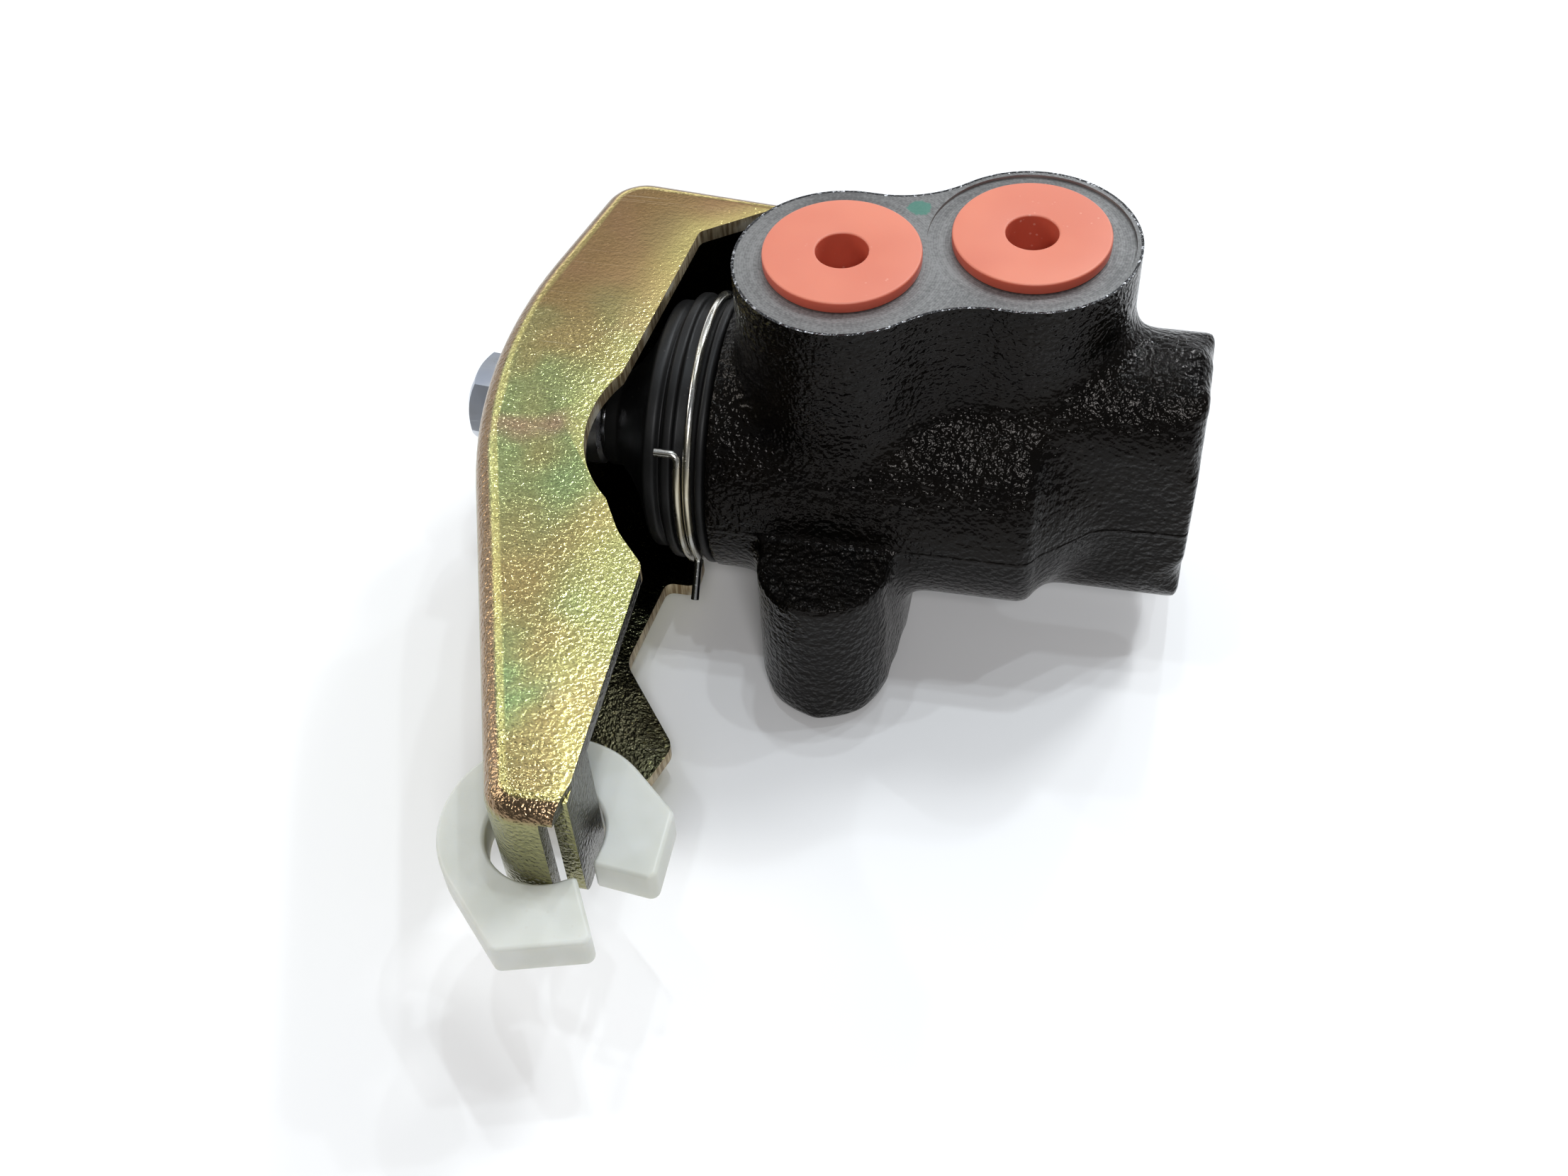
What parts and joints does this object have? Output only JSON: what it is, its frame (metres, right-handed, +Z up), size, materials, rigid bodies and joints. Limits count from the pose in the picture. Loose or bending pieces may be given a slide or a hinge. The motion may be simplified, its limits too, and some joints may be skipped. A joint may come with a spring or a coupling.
{
  "type": "brake proportioning valve",
  "caption": "Load-sensing brake proportioning valve: black cast body with plugged ports, rubber boot and a plated sheet lever that pushes its plunger.",
  "frame": {"origin": "mouth of the threaded hole in the underside of the front lug", "axes": "+Z up through the ports, +X along the bore towards the end boss, -Y towards the lever's nose"},
  "size_m": [0.1124, 0.129, 0.0663],
  "materials": {
    "black_casting": "gloss black paint on rough cast iron, bare machined top",
    "orange_plastic": "matte moulded plastic",
    "black_rubber": "satin rubber",
    "spring_steel": "bright drawn wire",
    "yellow_zinc": "yellow passivated zinc plate",
    "plated_steel": "zinc plate",
    "white_plastic": "milky nylon",
    "bearing_bronze": "oiled sintered bronze"
  },
  "bodies": {
    "housing": {"valve_body": "black_casting", "inlet_plug": "orange_plastic", "outlet_plug": "orange_plastic", "guide_bush": "plated_steel", "gland_o_ring": "black_rubber", "plunger_seal": "black_rubber", "backup_ring": "white_plastic", "retaining_ring": "spring_steel", "return_spring": "spring_steel", "rubber_boot": "black_rubber", "boot_clip": "spring_steel", "pivot_pin": "plated_steel", "pivot_clip": "spring_steel"},
    "lever_arm": {"lever": "yellow_zinc", "pivot_bush_upper": "bearing_bronze", "pivot_bush_lower": "bearing_bronze", "adjusting_screw": "plated_steel", "adjuster_cap": "white_plastic", "lock_nut": "plated_steel", "nose_bush": "white_plastic"},
    "plunger_set": {"plunger": "plated_steel", "spring_seat": "plated_steel", "metering_seal": "black_rubber", "seal_retainer": "plated_steel"}
  },
  "joints": [
    {"name": "lever_pivot", "type": "hinge", "parent": "housing", "child": "lever_arm", "pos_m": [-0.0065, 0.0455, 0.027], "axis": [0, 0, 1], "range_deg": [0, 6], "stiffness_Nm_per_rad": 0.4},
    {"name": "plunger_slide", "type": "slide", "parent": "housing", "child": "plunger_set", "axis": [1, 0, 0], "range_m": [0, 0.0025], "deforming": ["return_spring", "rubber_boot"]}
  ],
  "couplings": [
    {"joint": "plunger_slide", "follows": "lever_pivot", "m_per_rad": 0.0236}
  ]
}
